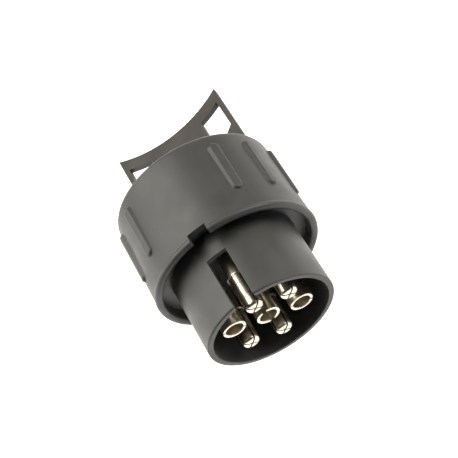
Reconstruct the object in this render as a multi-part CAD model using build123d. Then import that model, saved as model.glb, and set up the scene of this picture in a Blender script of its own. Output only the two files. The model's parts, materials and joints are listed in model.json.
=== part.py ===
from build123d import *
from math import cos, radians, sin, sqrt
import os

# Short trailer-lighting adapter: a seven-contact plug in front, a thirteen-contact socket with a
# sprung lid behind, and a ribbed grip cap round both. Sizes are in millimetres.
# Frame: the Y axis is the adapter's own axis, with the plug's mouth in the plane Y = 0 facing -Y.
# +Z points to the side that carries the plug's keyway, and X runs across.

# Plug shell
shell_r = 18.75
shell_wall = 1.7
plug_depth = 18.0
shell_back_wall = 0.85
shell_flange_t = 2.4
shell_shoulder = 0.2
mouth_round = 0.45
keyway_w = 6.1
keyway_l = 15.6

# Grip cap
cap_front_y = 18.9
recess_w = 3.65
recess_depth = 3.7
cap_lip_w = 2.1
cap_lip_drop = 1.2
cap_draft = 0.5
cap_wall = 1.95
cap_web_t = 2.0
cap_back_round = 2.4
notch_w = 5.5
notch_l = 2.8

# Grip ribs, at these angles to each side of the keyway
rib_w = 3.9
rib_h = 0.8
rib_flank_angle = 35.0
rib_round = 0.7
rib_front_gap = 7.4
rib_back_gap = 3.8
rib_angles = (37.0, 63.5, 90.0, 116.5, 143.0)

# Seven front contacts: one in the middle, six on a circle
contact_circle_r = 10.0
pin_angles = (0.0, -60.0, 180.0, 120.0)
tube_angles = (-120.0, 60.0)
pin_r = 2.5
pin_tip_y = 0.8
pin_tip_round = 1.0
pin_split_l = 10.4
pin_ring_t = 0.4
pin_ring_proud = 0.3
pin_neck_cut = 0.25
pin_shoulder = 0.4
pin_slit_w = 0.45
tube_bore_r = 2.5
tube_wall = 0.9
tube_tip_y = 2.0
tube_lead_in = 0.35
tube_slit_widths = (1.3, 0.5, 0.5)
tube_slit_l = 9.0
tube_bottom_t = 1.5
tube_stem_r = 2.2

# Solder cups and the wires between the two sets of contacts
cup_r = 1.6
cup_l = 3.0
cup_bore_l = 2.0
wire_r = 0.75
wire_bend_gap = 0.6
wiring_gap = 2.8

# Contact carriers and the spacer between them
front_carrier_t = 4.0
rear_carrier_t = 3.0
spacer_wall = 1.6
part_gap = 0.05

# Rear socket
sleeve_wall = 3.7
socket_depth = 14.2
socket_gap = 4.4
tower_drop = 2.7
tower_margin = 2.3
rear_key_w = 4.0
rear_key_d = 1.4
outer_ring_count = 8
inner_ring_count = 5
inner_ring_share = 0.435
rear_contact_r = 1.7
rear_bore_r = 1.25
rear_contact_drop = 0.4
rear_tail_r = 1.4
rear_tail_l = 2.7

# Clamp screws
screw_r = 1.0
screw_head_r = 1.6
screw_head_t = 0.9
screw_count = 4
boss_r = 1.75
boss_min_l = 1.5
screw_bite = 4.5
screw_tip_gap = 0.5
screw_floor_t = 0.4

# Lid with its thumb plate
lid_gap = 0.2
lid_inset = 0.9
lid_t = 2.5
lid_bevel = 3.4
lid_spigot_t = 1.2
gasket_w = 2.0
gasket_t = 1.0
gasket_gap = 0.4
wing_half_w = 19.2
wing_inset = 1.0
wing_t = 2.5
wing_l = 37.2
wing_hollow = 4.7
wing_band = 3.7
wing_leg_w = 1.7
wing_web_half_w = 9.9
wing_window_l = 14.9
wing_window_slant = 6.1

# Lid hinge
hinge_pin_r = 1.0
hinge_pin_head_r = 1.7
hinge_pin_head_t = 0.8
hinge_running_gap = 0.05
knuckle_r = 2.4
knuckle_clear = 0.3
lug_x = (9.5, 12.5)
lid_knuckle_x = (4.2, 8.9)
spring_r = 2.3
spring_half_l = 3.9

# Radii that follow from the sizes above
shell_bore_r = shell_r - shell_wall
carrier_r = shell_r - shell_back_wall - part_gap
lip_r = shell_r + recess_w
cap_front_r = lip_r + cap_lip_w
cap_back_r = cap_front_r - cap_draft
cap_bore_r = cap_back_r - cap_wall
sleeve_r = cap_bore_r - 3 * part_gap
socket_r = sleeve_r - sleeve_wall
screw_circle_r = sleeve_r - sleeve_wall / 2
tower_r = socket_r - socket_gap
outer_ring_r = tower_r - tower_margin
inner_ring_r = outer_ring_r * inner_ring_share
gasket_r = socket_r - gasket_gap
lid_spigot_r = gasket_r - gasket_w
lid_r = sleeve_r - lid_inset
tube_r = tube_bore_r + tube_wall
pin_neck_r = pin_r - pin_neck_cut
pin_stem_r = pin_neck_r - pin_shoulder

# Places along Y that follow from the sizes above
cap_floor_y = cap_front_y + recess_depth
web_back_y = cap_floor_y + cap_web_t
flange_back_y = web_back_y + shell_flange_t
pin_ring_y = pin_tip_y + pin_split_l
front_carrier_back_y = plug_depth + front_carrier_t
front_cup_y = front_carrier_back_y + cup_l
rear_carrier_y = max(front_cup_y + wiring_gap + rear_tail_l, flange_back_y + boss_min_l)
rear_floor_y = rear_carrier_y + rear_carrier_t
cap_back_y = rear_floor_y + socket_depth
tower_top_y = cap_back_y - tower_drop
screw_hole_y = max(rear_carrier_y - screw_bite, web_back_y + screw_floor_t)
lid_y = cap_back_y + lid_gap
lid_back_y = lid_y + lid_t
wing_tip_y = lid_back_y + wing_l
wing_mid_y = wing_tip_y - wing_hollow
wing_arc_r = (wing_half_w**2 + wing_hollow**2) / (2 * wing_hollow)
wing_arc_y = wing_mid_y + wing_arc_r

# Heights of the thumb plate and the hinge
wing_z = -(lid_r - wing_inset)
lid_low_z = wing_z - wing_t / 2 - 0.75
hinge_y = cap_back_y + knuckle_clear + knuckle_r
hinge_z = lid_low_z - knuckle_clear - 2 * part_gap - knuckle_r


def turned(points, rounds=()):
    """Solid turned about the Y axis. Points are (radius, y), rounds are (radius, y, fillet)."""
    face = make_face(Polyline(*points, close=True).edges())
    for radius, y, size in rounds:
        corner = face.vertices().sort_by_distance((radius, y, 0))[0]
        face = fillet(corner, size)
    return revolve(face, Axis.Y)


def rod(radius, y_low, y_high, x=0.0, z=0.0):
    """Round bar parallel to Y."""
    return Pos(x, (y_low + y_high) / 2, z) * Rot(90, 0, 0) * Cylinder(radius, y_high - y_low)


def cross_rod(radius, x_low, x_high, y, z):
    """Round bar parallel to X."""
    return Pos((x_low + x_high) / 2, y, z) * Rot(0, 90, 0) * Cylinder(radius, x_high - x_low)


def block(x_span, y_span, z_span):
    """Box from three (low, high) pairs."""
    spans = (x_span, y_span, z_span)
    middle = [(low + high) / 2 for low, high in spans]
    size = [high - low for low, high in spans]
    return Pos(*middle) * Box(*size)


def polar(radius, angle):
    """Place (x, z) on a circle. The angle starts at the keyway and grows towards -X."""
    return -radius * sin(radians(angle)), radius * cos(radians(angle))


def save(name, shape):
    shape.label = name
    export_step(shape, f"parts/{name}.step")


def screw_places():
    step = 360 / screw_count
    return [polar(screw_circle_r, step * (i + 0.5)) for i in range(screw_count)]


def rear_contact_places():
    outer_step = 360 / outer_ring_count
    inner_step = 360 / inner_ring_count
    places = [polar(outer_ring_r, outer_step * (i + 0.5)) for i in range(outer_ring_count)]
    return places + [polar(inner_ring_r, inner_step * i) for i in range(inner_ring_count)]


def front_contact_places():
    pins = [polar(contact_circle_r, angle) for angle in pin_angles]
    tubes = [(0.0, 0.0)] + [polar(contact_circle_r, angle) for angle in tube_angles]
    return pins, tubes


def plug_shell():
    """Tube that enters the vehicle's socket, with a flange that sits behind the cap's web."""
    inner_r = shell_r - shell_back_wall
    outline = [
        (shell_bore_r, 0),
        (shell_r, 0),
        (shell_r, cap_floor_y),
        (shell_r + shell_shoulder, cap_floor_y),
        (shell_r + shell_shoulder, web_back_y),
        (sleeve_r, web_back_y),
        (sleeve_r, flange_back_y),
        (inner_r, flange_back_y),
        (inner_r, plug_depth),
        (shell_bore_r, plug_depth),
    ]
    body = turned(outline, [(shell_r, 0, mouth_round), (shell_bore_r, 0, mouth_round * 0.6)])
    body -= block((-keyway_w / 2, keyway_w / 2), (-1, keyway_l), (shell_bore_r - 3, shell_r + 1))
    for x, z in screw_places():
        body += rod(boss_r, flange_back_y - 0.5, rear_carrier_y, x, z)
    for x, z in screw_places():
        body -= rod(screw_r + part_gap, screw_hole_y, rear_carrier_y + 1, x, z)
    return body


def rib(angle):
    """Raised grip rib with a flat top, sloping flanks, rounded shoulders and round ends."""
    y_low = cap_front_y + rib_front_gap
    y_high = cap_back_y - rib_back_gap
    root_r = sqrt(cap_back_r**2 - (rib_w / 2) ** 2) - part_gap
    top_r = (cap_front_r + cap_back_r) / 2 + rib_h
    outline = SlotOverall(y_high - y_low, rib_w, rotation=90)
    bar = extrude(outline, top_r - root_r, taper=rib_flank_angle)
    bar = fillet(bar.edges().group_by(Axis.Z)[-1], rib_round)
    return Rot(0, -angle, 0) * Pos(0, (y_low + y_high) / 2, root_r) * bar


def hinge_lug(side):
    """Ear under the back of the cap that holds one end of the hinge pin."""
    x_low, x_high = lug_x
    low_z = hinge_z - knuckle_r
    wall_r = (cap_bore_r + cap_back_r) / 2
    root_z = -sqrt(wall_r**2 - x_low**2)
    profile = [
        (cap_back_y - 11, root_z),
        (cap_back_y - 3, low_z),
        (hinge_y, low_z),
        (hinge_y, hinge_z + knuckle_r),
        (cap_back_y, hinge_z + knuckle_r),
        (cap_back_y - 0.5, root_z),
    ]
    web = extrude(Plane.YZ * make_face(Polyline(*profile, close=True).edges()), x_high - x_low)
    web = Pos(x_low, 0, 0) * web
    ear = web + cross_rod(knuckle_r, x_low, x_high, hinge_y, hinge_z)
    return ear if side > 0 else mirror(ear, Plane.YZ)


def grip_cap():
    """Sleeve that the hand holds, with a front lip, a web round the plug and grip ribs."""
    lip = Polyline((lip_r, cap_floor_y), (lip_r, cap_front_y + cap_lip_drop))
    lip += ThreePointArc(
        (lip_r, cap_front_y + cap_lip_drop),
        (lip_r + cap_lip_w * 0.45, cap_front_y),
        (cap_front_r, cap_front_y + cap_lip_drop * 1.5),
    )
    web_bore_r = shell_r + shell_shoulder + 2 * part_gap
    rest = Polyline(
        (cap_front_r, cap_front_y + cap_lip_drop * 1.5),
        (cap_back_r, cap_back_y),
        (cap_bore_r, cap_back_y),
        (cap_bore_r, web_back_y),
        (web_bore_r, web_back_y),
        (web_bore_r, cap_floor_y),
        (lip_r, cap_floor_y),
    )
    face = make_face(lip.edges() + rest.edges())
    corner = face.vertices().sort_by_distance((cap_back_r, cap_back_y, 0))[0]
    round_limit = (cap_back_r - cap_bore_r) * 0.9
    face = fillet(corner, min(cap_back_round, round_limit))
    body = revolve(face, Axis.Y)
    for angle in rib_angles:
        body += rib(angle)
        body += rib(-angle)
    for side in (1, -1):
        body += hinge_lug(side)
    body -= rod(cap_bore_r, web_back_y, cap_back_y)
    notch_y = (cap_front_y - 1, cap_front_y + notch_l)
    body -= block((-notch_w / 2, notch_w / 2), notch_y, (lip_r - 2, cap_front_r + 2))
    body -= cross_rod(hinge_pin_r + 0.02, -lug_x[1] - 1, lug_x[1] + 1, hinge_y, hinge_z)
    return body


def front_carrier():
    """Moulded disc that holds the seven front contacts."""
    pins, tubes = front_contact_places()
    body = rod(carrier_r, plug_depth, front_carrier_back_y)
    y_span = (plug_depth - 1, front_carrier_back_y + 1)
    for x, z in pins:
        body -= rod(pin_stem_r + part_gap, *y_span, x, z)
    for x, z in tubes:
        body -= rod(tube_stem_r + part_gap, *y_span, x, z)
    return body


def solder_cup(y_low, stem_r):
    """Hollow tail behind a front contact, with the stem that passes through the carrier."""
    y_high = y_low + cup_l
    cup = rod(stem_r, plug_depth, y_low) + rod(cup_r, y_low, y_high)
    return cup - rod(wire_r + part_gap, y_high - cup_bore_l, y_high + 1)


def pin_contact(x, z):
    """Sprung round pin, slit crosswise from its tip down to a thin ring."""
    outline = [
        (0, pin_tip_y),
        (pin_r, pin_tip_y),
        (pin_r, pin_ring_y),
        (pin_r + pin_ring_proud, pin_ring_y),
        (pin_r + pin_ring_proud, pin_ring_y + pin_ring_t),
        (pin_neck_r, pin_ring_y + pin_ring_t),
        (pin_neck_r, plug_depth),
        (0, plug_depth),
    ]
    body = turned(outline, [(pin_r, pin_tip_y, pin_tip_round)])
    body += solder_cup(front_carrier_back_y, pin_stem_r)
    slit_y = (pin_tip_y - 1, pin_ring_y)
    slit = block((-pin_r - 1, pin_r + 1), slit_y, (-pin_slit_w / 2, pin_slit_w / 2))
    for turn in (45, -45):
        body -= Rot(0, turn, 0) * slit
    return Pos(x, 0, z) * body


def tube_contact(x, z, slit_angle, slit_w):
    """Open round tube with two facing slits, which takes one of the mating pins."""
    bottom_y = plug_depth - tube_bottom_t
    outline = [
        (tube_bore_r + tube_lead_in, tube_tip_y),
        (tube_r, tube_tip_y),
        (tube_r, plug_depth),
        (0, plug_depth),
        (0, bottom_y),
        (tube_bore_r, bottom_y),
        (tube_bore_r, tube_tip_y + tube_lead_in),
    ]
    body = turned(outline, [(tube_r, tube_tip_y, 0.2)])
    slit = block(
        (-slit_w / 2, slit_w / 2),
        (tube_tip_y - 1, tube_tip_y + tube_slit_l),
        (-tube_r - 1, tube_r + 1),
    )
    body -= Rot(0, -slit_angle, 0) * slit
    body += solder_cup(front_carrier_back_y, tube_stem_r)
    return Pos(x, 0, z) * body


def spacer():
    """Tube that keeps the two contact carriers apart round the wires."""
    outer_r = carrier_r - part_gap
    ring = rod(outer_r, front_carrier_back_y, rear_carrier_y)
    return ring - rod(outer_r - spacer_wall, front_carrier_back_y - 1, rear_carrier_y + 1)


def link_wire(front, rear):
    """Short wire from a front solder cup to a rear one, straight at both ends."""
    rear_cup_y = rear_carrier_y - rear_tail_l
    start_y = front_cup_y - cup_bore_l + 0.3
    end_y = rear_cup_y + cup_bore_l - 0.5
    bend_1 = Vector(front[0], front_cup_y + wire_bend_gap, front[1])
    bend_2 = Vector(rear[0], rear_cup_y - wire_bend_gap, rear[1])
    slant = bend_2 - bend_1
    middle = Plane(origin=(bend_1 + bend_2) * 0.5, z_dir=slant) * Cylinder(wire_r, slant.length)
    wire = rod(wire_r, start_y, bend_1.Y, bend_1.X, bend_1.Z)
    wire += rod(wire_r, bend_2.Y, end_y, bend_2.X, bend_2.Z)
    for bend in (bend_1, bend_2):
        wire += Pos(bend) * Sphere(wire_r)
    return wire + middle


def rear_carrier():
    """Disc with a round tower that holds the thirteen socket contacts."""
    body = rod(sleeve_r, rear_carrier_y, rear_floor_y)
    outline = [(0, rear_floor_y), (tower_r, rear_floor_y), (tower_r, tower_top_y), (0, tower_top_y)]
    body += turned(outline, [(tower_r, tower_top_y, 0.8)])
    step_y = rear_floor_y + rear_contact_drop
    for x, z in rear_contact_places():
        body -= rod(rear_tail_r + part_gap, rear_carrier_y - 1, step_y, x, z)
        body -= rod(rear_contact_r + part_gap, step_y, tower_top_y + 1, x, z)
    for x, z in screw_places():
        body -= rod(screw_r + 2 * part_gap, rear_carrier_y - 1, rear_floor_y + 1, x, z)
    return body


def rear_contact(x, z):
    """Socket contact: a bored tube with a slimmer tail and solder cup."""
    step_y = rear_floor_y + rear_contact_drop
    tip_y = tower_top_y - rear_contact_drop
    tail_y = rear_carrier_y - rear_tail_l
    outline = [
        (0, tail_y),
        (rear_tail_r, tail_y),
        (rear_tail_r, step_y),
        (rear_contact_r, step_y),
        (rear_contact_r, tip_y),
        (rear_bore_r + 0.25, tip_y),
        (rear_bore_r, tip_y - 0.25),
        (rear_bore_r, step_y + 1),
        (0, step_y + 1),
    ]
    body = turned(outline) - rod(wire_r + part_gap, tail_y - 1, tail_y + cup_bore_l)
    return Pos(x, 0, z) * body


def rear_sleeve():
    """Wall of the rear socket, with a key groove and four countersunk screw holes."""
    body = rod(sleeve_r, rear_floor_y, cap_back_y) - rod(socket_r, rear_floor_y - 1, cap_back_y + 1)
    key_z = (socket_r - 1, socket_r + rear_key_d)
    body -= block((-rear_key_w / 2, rear_key_w / 2), (rear_floor_y + 2, cap_back_y + 1), key_z)
    for x, z in screw_places():
        body -= rod(screw_r + 2 * part_gap, rear_floor_y - 1, cap_back_y + 1, x, z)
        body -= Pos(x, 0, z) * screw_head(part_gap, 1.0)
    return body


def screw_head(extra, rise):
    """Countersunk head with its flat top in the socket's rim, or the seat cut for it."""
    outline = [
        (0, cap_back_y - screw_head_t),
        (screw_r + extra, cap_back_y - screw_head_t),
        (screw_head_r + extra, cap_back_y),
    ]
    if rise:
        outline.append((screw_head_r + extra, cap_back_y + rise))
    outline.append((0, cap_back_y + rise))
    return turned(outline)


def clamp_screws():
    """Four long screws that clamp the rear socket, its carrier and the plug shell together."""
    screws = []
    for x, z in screw_places():
        screw = screw_head(0, 0) + rod(screw_r, screw_hole_y + screw_tip_gap, cap_back_y - 0.5)
        for turn in (0, 90):
            recess = block((-0.9, 0.9), (cap_back_y - 0.6, cap_back_y + 1), (-0.2, 0.2))
            screw -= Rot(0, turn, 0) * recess
        screws += (Pos(x, 0, z) * screw).solids()
    return Compound(children=screws)


def wing_outline():
    """Thumb plate seen along Z: straight legs, a hollow arc at the end and two open windows."""
    edge = Polyline(
        (-wing_half_w, wing_tip_y),
        (-wing_half_w, lid_back_y - 0.5),
        (wing_half_w, lid_back_y - 0.5),
        (wing_half_w, wing_tip_y),
    )
    hollow = ThreePointArc((wing_half_w, wing_tip_y), (0, wing_mid_y), (-wing_half_w, wing_tip_y))
    plate = make_face(edge.edges() + hollow.edges())
    leg_x = wing_half_w - wing_leg_w
    window = make_face(
        Polyline(
            (wing_web_half_w, wing_tip_y - wing_window_l - wing_window_slant),
            (leg_x, wing_tip_y - wing_window_l),
            (leg_x, wing_tip_y),
            (wing_web_half_w, wing_tip_y),
            close=True,
        ).edges()
    )
    window -= Pos(0, wing_arc_y) * Circle(wing_arc_r + wing_band)
    return plate - window - mirror(window, Plane.YZ)


def lid():
    """Round lid over the rear socket, in one piece with its thumb plate and hinge knuckles."""
    outline = [
        (0, lid_y - lid_spigot_t),
        (lid_spigot_r, lid_y - lid_spigot_t),
        (lid_spigot_r, lid_y),
        (lid_r, lid_y),
        (lid_r - 0.2, lid_y + 0.8),
        (lid_r - lid_bevel, lid_back_y),
        (0, lid_back_y),
    ]
    body = turned(outline)
    body += block((-wing_half_w, wing_half_w), (lid_y, lid_back_y), (lid_low_z, wing_z + wing_t))
    plate = Pos(0, 0, wing_z - wing_t / 2) * extrude(wing_outline(), wing_t)
    body += plate
    for side in (1, -1):
        x_span = sorted((side * lid_knuckle_x[0], side * lid_knuckle_x[1]))
        body += cross_rod(knuckle_r, *x_span, hinge_y, hinge_z)
        body += block(x_span, (lid_y + 0.6, lid_back_y + 0.9), (hinge_z, lid_low_z + 0.5))
    pin_bore_r = hinge_pin_r + hinge_running_gap
    return body - cross_rod(pin_bore_r, -wing_half_w, wing_half_w, hinge_y, hinge_z)


def lid_gasket():
    """Rubber ring round the spigot on the inside of the lid."""
    outline = [
        (lid_spigot_r, lid_y - gasket_t),
        (gasket_r, lid_y - gasket_t),
        (gasket_r, lid_y),
        (lid_spigot_r, lid_y),
    ]
    return turned(outline, [(gasket_r, lid_y - gasket_t, 0.4)])


def hinge_pin():
    """Steel pin with one flat head."""
    end_x = lug_x[1] + 0.4
    pin = cross_rod(hinge_pin_r, -end_x, end_x, hinge_y, hinge_z)
    return pin + cross_rod(hinge_pin_head_r, end_x, end_x + hinge_pin_head_t, hinge_y, hinge_z)


def lid_spring():
    """Space that the torsion spring's coils take round the hinge pin."""
    outer = cross_rod(spring_r, -spring_half_l, spring_half_l, hinge_y, hinge_z)
    bore_r = hinge_pin_r + 0.25
    return outer - cross_rod(bore_r, -spring_half_l - 1, spring_half_l + 1, hinge_y, hinge_z)


def nearest(place, choices):
    """The free place closest to this one, taken off the list."""
    best = min(choices, key=lambda other: (other[0] - place[0]) ** 2 + (other[1] - place[1]) ** 2)
    choices.remove(best)
    return best


os.makedirs("parts", exist_ok=True)
pin_places, tube_places = front_contact_places()
slits = list(zip((0.0,) + tube_angles, tube_slit_widths))

save("plug_shell", plug_shell())
save("grip_cap", grip_cap())
save("front_carrier", front_carrier())
for number, (x, z) in enumerate(pin_places, 1):
    save(f"pin_contact_{number}", pin_contact(x, z))
for number, ((x, z), (angle, slit_w)) in enumerate(zip(tube_places, slits), 1):
    save(f"tube_contact_{number}", tube_contact(x, z, angle, slit_w))
save("spacer", spacer())
save("rear_carrier", rear_carrier())
for number, (x, z) in enumerate(rear_contact_places(), 1):
    save(f"rear_contact_{number:02d}", rear_contact(x, z))
free_rear = rear_contact_places()
for number, place in enumerate(pin_places + tube_places, 1):
    save(f"link_wire_{number}", link_wire(place, nearest(place, free_rear)))
save("rear_sleeve", rear_sleeve())
save("clamp_screws", clamp_screws())
save("lid", lid())
save("lid_gasket", lid_gasket())
save("hinge_pin", hinge_pin())
save("lid_spring", lid_spring())
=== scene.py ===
# %% [markdown]
# # A short trailer-lighting adapter
#
# The object joins an old seven-contact trailer plug to a newer thirteen-contact vehicle socket,
# or the other way round. In front it has a round nose with seven metal contacts. A ribbed grip
# cap surrounds the middle, and a sprung lid with a winged thumb plate closes the socket at the
# back.
#
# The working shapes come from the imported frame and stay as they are. This script gives every one
# of them a finish, and it models again the small metal pieces whose rounded edges catch the
# light.

# %% Load the frame
import json
import math

import bmesh
import bpy
from mathutils import Matrix, Vector


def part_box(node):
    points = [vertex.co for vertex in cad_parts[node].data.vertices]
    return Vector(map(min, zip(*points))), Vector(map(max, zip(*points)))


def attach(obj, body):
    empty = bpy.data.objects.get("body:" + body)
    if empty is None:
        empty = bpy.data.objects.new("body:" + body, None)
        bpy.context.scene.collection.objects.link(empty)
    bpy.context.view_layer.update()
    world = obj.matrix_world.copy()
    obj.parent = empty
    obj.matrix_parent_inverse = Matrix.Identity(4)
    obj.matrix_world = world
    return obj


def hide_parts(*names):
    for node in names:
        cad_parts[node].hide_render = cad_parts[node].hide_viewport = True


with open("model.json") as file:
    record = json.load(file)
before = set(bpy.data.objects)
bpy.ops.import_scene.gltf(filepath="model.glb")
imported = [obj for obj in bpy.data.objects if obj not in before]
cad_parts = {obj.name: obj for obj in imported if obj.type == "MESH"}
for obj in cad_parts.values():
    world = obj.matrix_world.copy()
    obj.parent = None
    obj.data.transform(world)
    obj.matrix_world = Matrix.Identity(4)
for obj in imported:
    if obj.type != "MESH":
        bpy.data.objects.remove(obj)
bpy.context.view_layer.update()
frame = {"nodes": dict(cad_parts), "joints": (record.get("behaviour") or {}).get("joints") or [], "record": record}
nodes = frame["nodes"]
MM = 0.001

# %% [markdown]
# ## Camera
#
# The adapter is seen from in front and well above, with the camera rolled so that the nose points
# down to the right. A rolled view is easier to set from its own axes than from three angles, so
# the camera's place and two of its directions are written out, and the third follows from them.

# %% Camera
CAMERA_PLACE = Vector((50.1, -132.8, 262.4)) * MM
CAMERA_RIGHT = Vector((0.7889, -0.4480, -0.4207))
CAMERA_UP = Vector((0.5959, 0.7248, 0.3457))

camera_data = bpy.data.cameras.new("studio_camera")
camera_data.lens = 89.0
camera_data.sensor_width = 36.0
camera_data.clip_start = 0.01
camera = bpy.data.objects.new("studio_camera", camera_data)
bpy.context.scene.collection.objects.link(camera)
right = CAMERA_RIGHT.normalized()
back = right.cross(CAMERA_UP).normalized()
turn = Matrix((right, back.cross(right), back)).transposed()
camera.matrix_world = Matrix.Translation(CAMERA_PLACE) @ turn.to_4x4()
bpy.context.scene.camera = camera
print("camera stands", round(CAMERA_PLACE.length, 3), "m from the plug's mouth")

# %% [markdown]
# ## Floor
#
# The floor is a plain white sheet. The lid's thumb plate swings down past the body as the lid
# opens, so the sheet lies low enough for it and the adapter is shown as if held above. The sheet
# gives off a little light of its own, as a sheet lit from below does, so it stays white and
# throws no hard shadow.

# %% Floor
SWING_ROOM = 42.0
floor_z = min(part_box(name)[0].z for name in nodes) - SWING_ROOM * MM
bpy.ops.object.select_all(action="DESELECT")
bpy.ops.mesh.primitive_plane_add(size=6.0, location=(0, 0, floor_z))
floor = bpy.context.object
floor.name = "studio_floor"
floor_finish = bpy.data.materials.new("studio_white")
floor_finish.use_nodes = True
shader = floor_finish.node_tree.nodes["Principled BSDF"]
shader.inputs["Base Color"].default_value = (0.9, 0.9, 0.9, 1)
shader.inputs["Roughness"].default_value = 0.9
shader.inputs["Specular IOR Level"].default_value = 0.1
shader.inputs["Emission Color"].default_value = (1, 1, 1, 1)
shader.inputs["Emission Strength"].default_value = 0.7
floor.data.materials.append(floor_finish)
print("floor at", round(floor_z / MM, 2), "mm")

# %% [markdown]
# ## Light
#
# Dark satin plastic shows its shape by what it mirrors more than by its own colour. So there are
# a few large soft boxes, set at the sides and behind, and the air over the camera stays dim. A
# light at the side brightens the edges of a round body and leaves its middle dark, which is the
# look that a small product has on a white table. A small box high above reaches down through the
# keyway slot to the metal inside.

# %% Lights
AIM = Vector((0, 40, 0)) * MM
LIGHT_DISTANCE = 0.9
LIGHT_COLOUR = (1.0, 0.955, 0.87)


def soft_box(name, around, height, size, power):
    """Square light aimed at the object. Angles are in degrees; 0 around is in front, 90 right."""
    around, height = math.radians(around), math.radians(height)
    flat = math.cos(height)
    towards = Vector((math.sin(around) * flat, -math.cos(around) * flat, math.sin(height)))
    data = bpy.data.lights.new(name, "AREA")
    data.shape = "SQUARE"
    data.size = size
    data.energy = power
    data.color = LIGHT_COLOUR
    lamp = bpy.data.objects.new(name, data)
    bpy.context.scene.collection.objects.link(lamp)
    lamp.location = AIM + towards * LIGHT_DISTANCE
    lamp.rotation_euler = (-towards).to_track_quat("-Z", "Y").to_euler()
    print(name, [round(c, 2) for c in lamp.location], power, "W")


soft_box("back_left_box", around=228, height=50, size=1.1, power=15.5)
soft_box("right_box", around=90, height=30, size=0.5, power=6.0)
soft_box("left_low_box", around=255, height=8, size=0.5, power=1.8)
soft_box("back_right_box", around=145, height=36, size=0.9, power=1.6)
soft_box("top_box", around=192, height=71, size=0.35, power=1.4)

# %% [markdown]
# ## Air and wall
#
# The world does two jobs here. To the object it is dim air, so that only the soft boxes draw
# highlights. To a view that passes over the floor's far edge it is a pale wall, which gives no
# light. A Light Path node tells the two apart.

# %% World
world = bpy.data.worlds.new("studio")
bpy.context.scene.world = world
world.use_nodes = True
sky = world.node_tree
dim_air = sky.nodes["Background"]
dim_air.inputs["Color"].default_value = (1.0, 0.98, 0.95, 1)
dim_air.inputs["Strength"].default_value = 0.02
pale_wall = sky.nodes.new("ShaderNodeBackground")
seen_directly = sky.nodes.new("ShaderNodeLightPath")
air_or_wall = sky.nodes.new("ShaderNodeMixShader")
sky.links.new(seen_directly.outputs["Is Camera Ray"], air_or_wall.inputs["Fac"])
sky.links.new(dim_air.outputs["Background"], air_or_wall.inputs[1])
sky.links.new(pale_wall.outputs["Background"], air_or_wall.inputs[2])
sky.links.new(air_or_wall.outputs["Shader"], sky.nodes["World Output"].inputs["Surface"])
bpy.context.scene.view_settings.view_transform = "Standard"
print("world:", world.name, "with", len(sky.nodes), "nodes")

# %% [markdown]
# ## Building shaders
#
# A shader is a tree of nodes. Some small helpers keep the trees below short. `place` adds a node
# and fills its inputs, each with a plain value or with another node's output. `new_group` makes
# an empty group with named sockets, so that an effect such as grain is built once and used in
# many finishes, and `give` links a group's results to those sockets. `math_node` is one step of
# arithmetic, and `stretch` spreads a narrow range of values over 0 to 1.


# %% Shader helpers
def place(tree, kind, inputs=(), **settings):
    """Add a node. Each input gets a value, or is linked to another node's output."""
    node = tree.nodes.new("ShaderNode" + kind)
    for name, value in settings.items():
        setattr(node, name, value)
    for name, value in dict(inputs).items():
        if isinstance(value, bpy.types.NodeSocket):
            tree.links.new(value, node.inputs[name])
        else:
            node.inputs[name].default_value = value
    return node


def new_group(name, inputs, outputs):
    """Empty shader group. Returns its tree, its input sockets and its output node."""
    tree = bpy.data.node_groups.new(name, "ShaderNodeTree")
    for label, value in inputs.items():
        socket = tree.interface.new_socket(label, in_out="INPUT", socket_type="NodeSocketFloat")
        socket.default_value = value
    for label in outputs:
        tree.interface.new_socket(label, in_out="OUTPUT", socket_type="NodeSocketFloat")
    return tree, tree.nodes.new("NodeGroupInput").outputs, tree.nodes.new("NodeGroupOutput")


def math_node(tree, operation, *values, clamp=False):
    """Output of one Math node."""
    node = place(tree, "Math", dict(enumerate(values)), operation=operation, use_clamp=clamp)
    return node.outputs["Value"]


def stretch(tree, value, low, high):
    """Output of a Map Range node: 0 at low, 1 at high."""
    node = place(tree, "MapRange", {"Value": value, "From Min": low, "From Max": high})
    return node.outputs["Result"]


def give(tree, output, **values):
    """Link values to a group's output sockets, whose names have no spaces."""
    for name, value in values.items():
        tree.links.new(value, output.inputs[name])


print("helpers: place, new_group, math_node, stretch, give")

# %% [markdown]
# ## Moulded surface
#
# The plastic parts come out of a spark-eroded mould. Close up the surface has a fine even grain,
# and over a finger's width the gloss drifts a little where the melt met the steel hotter or
# cooler. The group gives the grain as a height for a bump, and the drift and a few faint specks
# as masks. All three read Object coordinates, so the pattern stays on the part when the part
# moves.


# %% Moulded surface group
SPECK_SCALE = 420.0
SPECK_RIM = (0.1, 0.06)
SPECK_RARITY = 0.93


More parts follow.
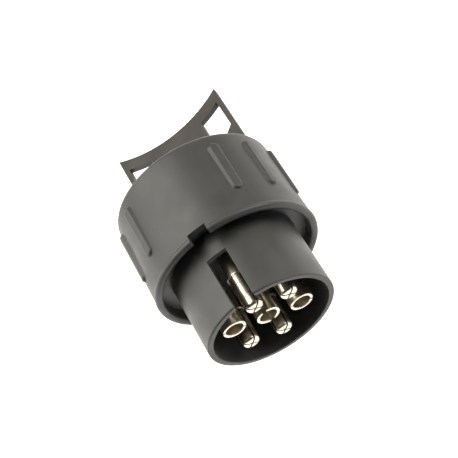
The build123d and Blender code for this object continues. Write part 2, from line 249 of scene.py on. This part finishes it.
def build_moulded_surface():
    tree, given, output = new_group(
        "moulded_surface",
        {"Grain Size": 0.0002, "Cloud Size": 0.006},
        ["Height", "Cloud", "Specks"],
    )
    spot = place(tree, "TexCoord").outputs["Object"]
    grain_scale = math_node(tree, "DIVIDE", 1.0, given["Grain Size"])
    cloud_scale = math_node(tree, "DIVIDE", 1.0, given["Cloud Size"])
    grain = place(tree, "TexNoise", {"Vector": spot, "Scale": grain_scale, "Detail": 2.0})
    cloud = place(tree, "TexNoise", {"Vector": spot, "Scale": cloud_scale, "Detail": 5.0})
    cloud.inputs["Roughness"].default_value = 0.62
    spread = stretch(tree, cloud.outputs["Fac"], 0.3, 0.7)
    cells = place(tree, "TexVoronoi", {"Vector": spot, "Scale": SPECK_SCALE})
    near = stretch(tree, cells.outputs["Distance"], *SPECK_RIM)
    pick = place(tree, "SeparateColor", {"Color": cells.outputs["Color"]})
    rare = math_node(tree, "GREATER_THAN", pick.outputs["Red"], SPECK_RARITY)
    specks = math_node(tree, "MULTIPLY", near, rare)
    give(tree, output, Height=grain.outputs["Fac"], Cloud=spread, Specks=specks)
    return tree


moulded_surface = build_moulded_surface()
print("group:", moulded_surface.name)

# %% [markdown]
# ## Painted edge highlights
#
# Outer corners of the plastic and metal parts are painted paler, as a painted highlight along each
# edge, and made a little smoother. A ray sent into the solid near an outer corner soon meets the
# far side, so the inside form of ambient occlusion finds outer corners and nothing else. Noise
# breaks the mask up, so the painted highlight is uneven.


# %% Painted edge highlights group
PROBE_SAMPLES = 8


def build_painted_edge_highlights():
    # Mask for the painted highlight along outer edges.
    tree, given, output = new_group("painted_edge_highlights", {"Width": 0.0004, "Reach": 1.6}, ["Mask"])
    probe = place(
        tree,
        "AmbientOcclusion",
        {"Distance": given["Width"]},
        inside=True,
        only_local=True,
        samples=PROBE_SAMPLES,
    )
    open_share = math_node(tree, "SUBTRACT", 1.0, probe.outputs["AO"])
    strong = math_node(tree, "MULTIPLY", open_share, given["Reach"], clamp=True)
    spot = place(tree, "TexCoord").outputs["Object"]
    noise = place(tree, "TexNoise", {"Vector": spot, "Scale": 700.0, "Detail": 4.0})
    broken = stretch(tree, noise.outputs["Fac"], 0.32, 0.62)
    give(tree, output, Mask=math_node(tree, "MULTIPLY", strong, broken))
    return tree


painted_edge_highlights = build_painted_edge_highlights()
print("group:", painted_edge_highlights.name)

# %% [markdown]
# ## Shaded hollows
#
# Slits, bores and corners are painted darker, as painted shade. The usual form of ambient
# occlusion finds those places. Only the piece itself counts, so a neighbour that moves away
# leaves no painted shade behind.


# %% Shaded hollows group
def build_shaded_hollows():
    tree, given, output = new_group("shaded_hollows", {"Reach": 0.004, "Power": 1.5}, ["Mask"])
    probe = place(
        tree,
        "AmbientOcclusion",
        {"Distance": given["Reach"]},
        only_local=True,
        samples=PROBE_SAMPLES,
    )
    shut = math_node(tree, "SUBTRACT", 1.0, probe.outputs["AO"])
    give(tree, output, Mask=math_node(tree, "POWER", shut, given["Power"], clamp=True))
    return tree


shaded_hollows = build_shaded_hollows()
print("group:", shaded_hollows.name)

# %% [markdown]
# ## Turned metal
#
# Pins, tubes and the hinge pin are turned on a lathe. The tool leaves fine rings round the part.
# Noise along one axis alone makes such rings: its value depends on the distance along the part,
# and not on the way round. `Along` picks that axis, from 0 for X to 1 for Y.


# %% Turned metal group
def build_turned_marks():
    tree, given, output = new_group(
        "turned_marks",
        {"Pitch": 0.0002, "Along": 1.0},
        ["Height", "Shade"],
    )
    spot = place(tree, "TexCoord").outputs["Object"]
    parts = place(tree, "SeparateXYZ", {"Vector": spot}).outputs
    place_along = place(tree, "Mix", {0: given["Along"], 2: parts["X"], 3: parts["Y"]}).outputs[0]
    turns = math_node(tree, "DIVIDE", place_along, given["Pitch"])
    ring_inputs = {"W": turns, "Scale": 1.0, "Detail": 3.0}
    rings = place(tree, "TexNoise", ring_inputs, noise_dimensions="1D")
    stain = place(tree, "TexNoise", {"Vector": spot, "Scale": 260.0, "Detail": 4.0})
    spread = stretch(tree, stain.outputs["Fac"], 0.35, 0.7)
    give(tree, output, Height=rings.outputs["Fac"], Shade=spread)
    return tree


turned_marks = build_turned_marks()
print("group:", turned_marks.name)

# %% [markdown]
# ## Plastic finishes
#
# Every plastic part is dark satin nylon or a close relative, so one function makes them all. It
# mixes a slightly darker and a slightly lighter shade of the base colour through the cloud mask,
# and a pale painted highlight at the edges. The same masks move the roughness. The function's
# inputs carry the real differences: the lid is duller and browner than the nose and the cap, the
# contact carriers are black, and the rubber seal is the dullest.


# %% Finish helpers
def colour_mix(tree, mask, first, second):
    """Output of a colour mix: first where the mask is 0, second where it is 1."""
    node = place(tree, "Mix", {0: mask, 6: first, 7: second}, data_type="RGBA")
    return node.outputs[2]


def value_mix(tree, mask, first, second):
    """Output of a number mix: first where the mask is 0, second where it is 1."""
    node = place(tree, "Mix", {0: mask, 2: first, 3: second})
    return node.outputs[0]


def shade(colour, factor=1.0):
    """Colour with its alpha, made lighter or darker."""
    return (*(part * factor for part in colour), 1.0)


def use(tree, group, **values):
    """Place a group. Underscores in a name stand for the spaces of its socket."""
    node = tree.nodes.new("ShaderNodeGroup")
    node.node_tree = group
    for name, value in values.items():
        node.inputs[name.replace("_", " ")].default_value = value
    return node.outputs


def new_finish(name):
    """Material with its tree and its shader."""
    finish = bpy.data.materials.new(name)
    finish.use_nodes = True
    return finish, finish.node_tree, finish.node_tree.nodes["Principled BSDF"]


def wire_up(tree, shader, base, rough, height, strength, depth):
    """Link a colour, a roughness and a bump of this depth in metres to the shader."""
    bump = place(tree, "Bump", {"Height": height, "Strength": strength, "Distance": depth})
    tree.links.new(base, shader.inputs["Base Color"])
    tree.links.new(rough, shader.inputs["Roughness"])
    tree.links.new(bump.outputs["Normal"], shader.inputs["Normal"])


print("helpers: colour_mix, value_mix, shade, use, new_finish, wire_up")


# %% Plastic function
def plastic(name, colour, roughness, drift=0.08, grain=0.25, edge_highlight_amount=0.5, grain_size=0.00018):
    """Moulded plastic or rubber. Drift is how far the roughness strays to each side."""
    finish, tree, shader = new_finish(name)
    surface = use(tree, moulded_surface, Grain_Size=grain_size, Cloud_Size=0.007)
    edges = use(tree, painted_edge_highlights, Width=0.00035, Reach=1.5)
    edge_highlight_mask = math_node(tree, "MULTIPLY", edges["Mask"], edge_highlight_amount)
    speck_mask = math_node(tree, "MULTIPLY", surface["Specks"], 0.35)
    base = colour_mix(tree, surface["Cloud"], shade(colour, 0.88), shade(colour, 1.14))
    # Paler colour on outer edges: a painted highlight.
    base = colour_mix(tree, edge_highlight_mask, base, shade(colour, 2.6))
    base = colour_mix(tree, speck_mask, base, shade(colour, 2.2))
    rough = value_mix(tree, surface["Cloud"], roughness - drift, roughness + drift)
    rough = value_mix(tree, edge_highlight_mask, rough, roughness - 0.12)
    wire_up(tree, shader, base, rough, surface["Height"], grain, 0.00003)
    shader.inputs["IOR"].default_value = 1.5
    return finish


print("function: plastic")

# %% Plastic finishes
DARK_GREY = (0.0325, 0.0340, 0.0350)
OLIVE_GREY = (0.0215, 0.0205, 0.0160)
BLACK = (0.006, 0.006, 0.0062)
finishes = {
    "shell_plastic": plastic("satin_shell", DARK_GREY, 0.48),
    "cap_plastic": plastic("satin_cap", DARK_GREY, 0.48),
    "lid_plastic": plastic("satin_lid", OLIVE_GREY, 0.6),
    "carrier_plastic": plastic("black_carrier", BLACK, 0.6, edge_highlight_amount=0.2),
    "seal_rubber": plastic("black_rubber", BLACK, 0.75, grain=0.6, edge_highlight_amount=0.0, grain_size=0.0004),
}
print("plastics:", sorted(finishes))

# %% [markdown]
# ## Metal finishes
#
# The contacts are brass with a thin warm nickel plate. Bores and corners of every metal part are
# painted darker, as painted shade, dark brown on the contacts. The neck of a pin is never wiped,
# so there the plate is still matt and its painted shade stays close to its own colour. The screws
# and the hinge pin are zinc plated, the spring is plain steel wire, and the link wires inside show
# bare tinned copper.


# %% Metal function
def metal(name, colour, hollow_shade_colour, roughness, along=1.0):
    """Turned metal. The hollow shade colour is painted shade in its bores and corners."""
    finish, tree, shader = new_finish(name)
    marks = use(tree, turned_marks, Pitch=0.00016, Along=along)
    hollows = use(tree, shaded_hollows, Reach=0.004, Power=0.85)
    edges = use(tree, painted_edge_highlights, Width=0.00015, Reach=1.5)
    base = colour_mix(tree, marks["Shade"], shade(colour, 0.9), shade(colour))
    # Slightly paler colour on outer edges: a painted highlight.
    base = colour_mix(tree, edges["Mask"], base, shade(colour, 1.05))
    # Bores and corners take the hollow shade colour: painted shade.
    base = colour_mix(tree, hollows["Mask"], base, shade(hollow_shade_colour))
    rough = value_mix(tree, marks["Shade"], roughness - 0.04, roughness + 0.05)
    rough = value_mix(tree, hollows["Mask"], rough, roughness + 0.2)
    wire_up(tree, shader, base, rough, marks["Height"], 0.15, 0.00002)
    shader.inputs["Metallic"].default_value = 1.0
    return finish


print("function: metal")

# %% Metal finishes
# Each second colour is the painted shade in that metal's bores and corners.
NICKEL, NICKEL_HOLLOW_SHADE = (0.86, 0.79, 0.66), (0.11, 0.05, 0.018)
FRESH_NICKEL, FRESH_HOLLOW_SHADE = (0.88, 0.80, 0.64), (0.85, 0.76, 0.58)
ZINC, ZINC_HOLLOW_SHADE = (0.62, 0.63, 0.62), (0.12, 0.11, 0.1)
STEEL, STEEL_HOLLOW_SHADE = (0.42, 0.41, 0.4), (0.07, 0.06, 0.05)
COPPER, COPPER_HOLLOW_SHADE = (0.7, 0.62, 0.55), (0.3, 0.14, 0.08)
metals = {
    "contact_metal": metal("warm_nickel", NICKEL, NICKEL_HOLLOW_SHADE, 0.3),
    "contact_neck": metal("matt_nickel", FRESH_NICKEL, FRESH_HOLLOW_SHADE, 0.46),
    "steel": metal("zinc_plate", ZINC, ZINC_HOLLOW_SHADE, 0.3, along=0.0),
    "spring_steel": metal("spring_wire", STEEL, STEEL_HOLLOW_SHADE, 0.32, along=0.0),
    "wire_copper": metal("tinned_copper", COPPER, COPPER_HOLLOW_SHADE, 0.35),
}
finishes.update(metals)
print("metals:", sorted(metals))

# %% [markdown]
# ## Finishes on the carried-over parts
#
# The record names the finish slot of every part. Each part keeps its shape and only swaps the
# plain material that it came with.

# %% Assign the finishes
slots = {row["node"]: row["material_slot"] for row in frame["record"]["subparts"]}
for name, part in nodes.items():
    part.data.materials.clear()
    part.data.materials.append(finishes[slots[name]])
print("finished parts:", len(slots))

# %% [markdown]
# ## Working in edit mode
#
# The new metal pieces are built as a person would build them by hand: a primitive first, then
# faces and edges picked by their place and moved, extruded or bevelled. An operator acts on
# whatever is selected, so each helper first clears the selection and then picks exactly what it
# needs.


# %% Modelling helpers
def work_on(piece, kind="FACE"):
    """Make this the only selected object, open its mesh and pick nothing."""
    if bpy.context.mode != "OBJECT":
        bpy.ops.object.mode_set(mode="OBJECT")
    bpy.ops.object.select_all(action="DESELECT")
    piece.select_set(True)
    bpy.context.view_layer.objects.active = piece
    bpy.ops.object.mode_set(mode="EDIT")
    bpy.ops.mesh.select_mode(type=kind)
    bpy.ops.mesh.select_all(action="DESELECT")
    return bmesh.from_edit_mesh(piece.data)


def pick_faces(piece, test):
    """Select the faces whose middle and normal pass the test."""
    mesh = work_on(piece)
    for face in mesh.faces:
        face.select_set(test(face.calc_center_median() / MM, face.normal))
    bmesh.update_edit_mesh(piece.data)


def pick_edges(piece, test):
    """Select the edges whose two ends both pass the test."""
    mesh = work_on(piece, "EDGE")
    for edge in mesh.edges:
        edge.select_set(all(test(corner.co / MM) for corner in edge.verts))
    bmesh.update_edit_mesh(piece.data)


def finish_work(piece):
    """Merge doubles, turn the faces outwards and leave edit mode."""
    work_on(piece)
    bpy.ops.mesh.select_all(action="SELECT")
    bpy.ops.mesh.remove_doubles(threshold=0.000001)
    bpy.ops.mesh.normals_make_consistent(inside=False)
    bpy.ops.object.mode_set(mode="OBJECT")


print("helpers: work_on, pick_faces, pick_edges, finish_work")


# %% A round bar that grows step by step
TOUCH = 0.001


def round_bar(name, radius, y_low, y_high, sides=64):
    """Closed round bar along Y, with its place in its mesh."""
    if bpy.context.mode != "OBJECT":
        bpy.ops.object.mode_set(mode="OBJECT")
    bpy.ops.object.select_all(action="DESELECT")
    bpy.ops.mesh.primitive_cylinder_add(
        vertices=sides,
        radius=radius * MM,
        depth=(y_high - y_low) * MM,
        location=(0, (y_low + y_high) / 2 * MM, 0),
        rotation=(math.pi / 2, 0, 0),
    )
    bar = bpy.context.object
    bar.name = name
    bpy.ops.object.transform_apply(location=True, rotation=True, scale=True)
    return bar


def push_back(distance):
    """Extrude the picked faces along Y by this many millimetres."""
    bpy.ops.mesh.extrude_region_move(TRANSFORM_OT_translate={"value": (0, distance * MM, 0)})


def lengthen(bar, radius, y, steps):
    """Carry the bar's back face on through (radius, y) steps, in millimetres."""
    pick_faces(bar, lambda middle, normal: normal.y > 0.9 and abs(middle.y - y) < TOUCH)
    for next_radius, next_y in steps:
        push_back(next_y - y)
        if next_radius != radius:
            size = next_radius / radius
            bpy.ops.transform.resize(value=(size, 1, size), center_override=(0, next_y * MM, 0))
        radius, y = next_radius, next_y


def cut_slit(bar, width, y_low, y_high, reach, angle):
    """Saw a slit of this width through the bar's axis, turned about Y by an angle in degrees."""
    bpy.ops.object.mode_set(mode="OBJECT")
    bpy.ops.object.select_all(action="DESELECT")
    bpy.ops.mesh.primitive_cube_add(
        size=MM,
        location=(0, (y_low + y_high) / 2 * MM, 0),
        rotation=(0, math.radians(angle), 0),
        scale=(width, y_high - y_low, 2 * reach),
    )
    saw = bpy.context.object
    cut = bar.modifiers.new("slit", "BOOLEAN")
    cut.operation = "DIFFERENCE"
    cut.solver = "EXACT"
    cut.object = saw
    bpy.context.view_layer.objects.active = bar
    bpy.ops.object.modifier_apply(modifier=cut.name)
    bpy.data.objects.remove(saw)


print("helpers: round_bar, push_back, lengthen, cut_slit")


# %% Edges and copies
def soften(piece, width, segments=2, angle=35):
    """Round all sharp edges a little with an applied bevel, then shade the rest smooth."""
    bpy.ops.object.select_all(action="DESELECT")
    piece.select_set(True)
    bpy.context.view_layer.objects.active = piece
    edge = piece.modifiers.new("soft_edges", "BEVEL")
    edge.width = width * MM
    edge.segments = segments
    edge.limit_method = "ANGLE"
    edge.angle_limit = math.radians(angle)
    edge.use_clamp_overlap = True
    bpy.ops.object.modifier_apply(modifier=edge.name)
    bpy.ops.object.shade_smooth_by_angle(angle=math.radians(angle))


def move_in(piece, place_x, place_z, turn_angle=0.0):
    """Turn a piece's mesh about Y by an angle in degrees, then move it across."""
    spin = Matrix.Rotation(math.radians(turn_angle), 4, "Y")
    piece.data.transform(Matrix.Translation((place_x, 0, place_z)) @ spin)


def copy_of(model, name):
    """Copy of a piece, with its own mesh."""
    piece = model.copy()
    piece.data = model.data.copy()
    piece.name = piece.data.name = name
    bpy.context.scene.collection.objects.link(piece)
    return piece


def axis_of(node):
    """Middle of a CAD node across, as (x, z) in metres."""
    low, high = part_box(node)
    return (low.x + high.x) / 2, (low.z + high.z) / 2


print("helpers: soften, move_in, copy_of, axis_of")

# %% [markdown]
# ## Contact pins
#
# Four of the seven contacts are sprung pins. Each is turned from bar, rounded at the tip, and
# sawn crosswise so that its four leaves press outwards in the mating tube. A thin ring stops the
# saw cut. Behind the ring the pin is a little thinner, and its tail ends in a solder cup inside
# the housing.
#
# A lathe part is a stack of cylinders, so the model starts as a short bar and its back face is
# carried on, step by step. The tip is bevelled before sawing, because a bevel needs an unbroken
# edge. The faces behind the ring take the material's second place, which holds the matt finish.

# %% Pin sizes
PIN_R = 2.5
PIN_TIP_Y = 0.8
PIN_TIP_ROUND = 1.0
PIN_LINE_Y = 4.6
PIN_RING_Y = 11.2
PIN_SLIT_W = 0.5
PIN_LINE_R, PIN_LINE_W = PIN_R - 0.06, 0.12
PIN_RING_R, PIN_RING_W = PIN_R + 0.3, 0.4
PIN_NECK_R = PIN_R - 0.25
PIN_STEM_R = 1.85
CARRIER_Y, STEM_END_Y = 18.0, 22.0
CUP_STEPS = [(1.6, STEM_END_Y), (1.6, 25.0), (0.8, 25.0), (0.8, 23.0)]
pin_steps = [
    (PIN_LINE_R, PIN_LINE_Y),
    (PIN_LINE_R, PIN_LINE_Y + PIN_LINE_W),
    (PIN_R, PIN_LINE_Y + PIN_LINE_W),
    (PIN_R, PIN_RING_Y),
    (PIN_RING_R, PIN_RING_Y),
    (PIN_RING_R, PIN_RING_Y + PIN_RING_W),
    (PIN_NECK_R, PIN_RING_Y + PIN_RING_W),
    (PIN_NECK_R, CARRIER_Y),
    (PIN_STEM_R, CARRIER_Y),
    (PIN_STEM_R, STEM_END_Y),
] + CUP_STEPS
print("pin steps:", len(pin_steps))

# %% Model one pin
pin = round_bar("pin_model", PIN_R, PIN_TIP_Y, PIN_LINE_Y)
lengthen(pin, PIN_R, PIN_LINE_Y, pin_steps)
pick_edges(pin, lambda corner: abs(corner.y - PIN_TIP_Y) < TOUCH)
bpy.ops.mesh.bevel(offset=PIN_TIP_ROUND * MM, segments=7, affect="EDGES")
finish_work(pin)
for angle in (45, -45):
    cut_slit(pin, PIN_SLIT_W, 0, PIN_RING_Y, PIN_R + 1, angle)
finish_work(pin)
soften(pin, 0.06)
for face in pin.data.polygons:
    face.material_index = int(face.center.y / MM > PIN_RING_Y + 0.3)
print("pin faces:", len(pin.data.polygons))

# %% Place the four pins
for number in range(1, 5):
    node = f"pin_contact_{number}"
    piece = copy_of(pin, f"contact_pin_{number}")
    move_in(piece, *axis_of(node))
    piece.data.materials.append(finishes["contact_metal"])
    piece.data.materials.append(finishes["contact_neck"])
    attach(piece, "housing")
    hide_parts(node)
bpy.data.objects.remove(pin)
print("pins placed: 4")

# %% [markdown]
# ## Contact tubes
#
# The other three contacts are open tubes, which take the pins of the mating part. Two facing
# slits let the tube spring; the middle tube's are the widest. The front face of a bar is inset to
# the width of the wall and then pushed in, which makes the bore and leaves the wall at its real
# thickness. Both corners of the rim are rounded while they are still whole rings, and the slits
# are sawn last.

# %% Model a tube
TUBE_R = 3.4
TUBE_BORE_R = 2.5
TUBE_TIP_Y = 2.0
TUBE_BORE_L = 14.5
TUBE_SLIT_END_Y = 11.0
TUBE_STEM_R = 2.2
TUBE_RIM_ROUNDS = ((TUBE_R, 0.28), (TUBE_BORE_R, 0.3))


def on_rim(radius):
    """Test for the corners of the front face that lie on a circle of this radius."""
    return lambda corner: (
        abs(corner.y - TUBE_TIP_Y) < TOUCH
        and abs(math.hypot(corner.x, corner.z) - radius) < 10 * TOUCH
    )


def model_tube(name, slit_width):
    """Tube with its place on the Y axis and its slits up and down."""
    tube = round_bar(name, TUBE_R, TUBE_TIP_Y, CARRIER_Y)
    stem_steps = [(TUBE_STEM_R, CARRIER_Y), (TUBE_STEM_R, STEM_END_Y)]
    lengthen(tube, TUBE_R, CARRIER_Y, stem_steps + CUP_STEPS)
    pick_faces(tube, lambda middle, normal: normal.y < -0.9 and abs(middle.y - TUBE_TIP_Y) < TOUCH)
    bpy.ops.mesh.inset(thickness=(TUBE_R - TUBE_BORE_R) * MM)
    push_back(TUBE_BORE_L)
    for radius, round_off in TUBE_RIM_ROUNDS:
        pick_edges(tube, on_rim(radius))
        bpy.ops.mesh.bevel(offset=round_off * MM, segments=4, affect="EDGES")
    finish_work(tube)
    cut_slit(tube, slit_width, TUBE_TIP_Y - 1, TUBE_SLIT_END_Y, TUBE_R + 1, 0)
    finish_work(tube)
    soften(tube, 0.06)
    return tube


print("function: model_tube")

# %% Place the three tubes: slit width and turn of each
tube_cuts = {1: (1.3, 0.0), 2: (0.5, 120.0), 3: (0.5, -60.0)}
for number, (slit_width, turned_by) in tube_cuts.items():
    node = f"tube_contact_{number}"
    piece = model_tube(f"contact_tube_{number}", slit_width)
    move_in(piece, *axis_of(node), turned_by)
    piece.data.materials.append(finishes["contact_metal"])
    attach(piece, "housing")
    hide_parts(node)
    print(piece.name, "slit", slit_width, "mm, faces", len(piece.data.polygons))

# %% [markdown]
# ## Lid spring
#
# A torsion spring round the hinge pin shuts the lid. One leg presses under the cap, the other
# under the thumb plate. The coil is a small circle swept round the hinge line by a screw
# modifier. The leg at the lid moves with the lid, so it is a piece of its own. It starts as one
# more whole turn beside the coil, so the two stay in line however far the lid swings.

# %% Spring sizes
hinge_spot = Vector(frame["joints"][0]["pos_m"])
COIL_R = 1.75
SPRING_WIRE_R = 0.34
COIL_PITCH = 0.72
COIL_TURNS = 7
COIL_START_X = -3.3
LEG_START_X = COIL_START_X + (COIL_TURNS + 1) * COIL_PITCH
LEG_RISE_ANGLE = 40
LEG_L = 7.0
STEPS_PER_TURN = 32
print("hinge line at", [round(c / MM, 2) for c in hinge_spot], "mm")


# %% Wire and coil
def wire_ring(name, x):
    """Small open circle of wire straight below the hinge line."""
    if bpy.context.mode != "OBJECT":
        bpy.ops.object.mode_set(mode="OBJECT")
    bpy.ops.object.select_all(action="DESELECT")
    spot = hinge_spot + Vector((x, 0, -COIL_R)) * MM
    bpy.ops.mesh.primitive_circle_add(
        vertices=14, radius=SPRING_WIRE_R * MM, location=spot, rotation=(math.pi / 2, 0, 0)
    )
    ring = bpy.context.object
    ring.name = name
    bpy.ops.object.transform_apply(location=True, rotation=True, scale=True)
    return ring


def wind(ring, turns):
    """Sweep the circle round the hinge line with a screw modifier, and apply it."""
    ring.data.transform(Matrix.Translation(-hinge_spot))
    screw = ring.modifiers.new("wind", "SCREW")
    screw.axis = "X"
    screw.angle = 2 * math.pi * turns
    screw.screw_offset = COIL_PITCH * turns * MM
    screw.steps = screw.render_steps = round(turns * STEPS_PER_TURN)
    bpy.ops.object.modifier_apply(modifier=screw.name)
    ring.data.transform(Matrix.Translation(hinge_spot))


def pull_leg(piece, at_x, shift):
    """Carry the open end of the wire at this x on by a shift in millimetres."""
    mesh = work_on(piece, "EDGE")
    for edge in mesh.edges:
        middle = (edge.verts[0].co + edge.verts[1].co) / 2 / MM
        edge.select_set(edge.is_boundary and abs(middle.x - at_x) < SPRING_WIRE_R * 1.2)
    bmesh.update_edit_mesh(piece.data)
    bpy.ops.mesh.extrude_region_move(TRANSFORM_OT_translate={"value": Vector(shift) * MM})


def close_ends(piece):
    """Fill the open ends of the wire, shade it smooth and give it its finish."""
    work_on(piece, "EDGE")
    bpy.ops.mesh.select_non_manifold()
    bpy.ops.mesh.fill_holes(sides=0)
    finish_work(piece)
    bpy.ops.object.shade_smooth_by_angle(angle=math.radians(40))
    piece.data.materials.append(finishes["spring_steel"])


print("helpers: wire_ring, wind, pull_leg, close_ends")

# %% Coil with the leg that presses on the cap
coil = wire_ring("spring_coil", COIL_START_X)
wind(coil, COIL_TURNS)
pull_leg(coil, COIL_START_X, (0, -3.0, 0.35))
pull_leg(coil, COIL_START_X, (0, -4.2, 1.7))
close_ends(coil)
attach(coil, "housing")
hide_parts("lid_spring")
print("coil faces:", len(coil.data.polygons))

# %% Last turn and the leg that presses on the lid
leg = wire_ring("spring_leg", LEG_START_X)
leg_turns = 1 + LEG_RISE_ANGLE / 360
wind(leg, leg_turns)
rise = math.radians(LEG_RISE_ANGLE)
leg_shift = Vector((0, math.cos(rise), math.sin(rise))) * LEG_L
pull_leg(leg, LEG_START_X + leg_turns * COIL_PITCH, leg_shift)
close_ends(leg)
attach(leg, "lid")
leg_spots = [corner.co / MM for corner in leg.data.vertices]
print("leg reaches y", round(max(spot.y for spot in leg_spots), 2), "mm")
print("leg reaches z", round(max(spot.z for spot in leg_spots), 2), "mm")
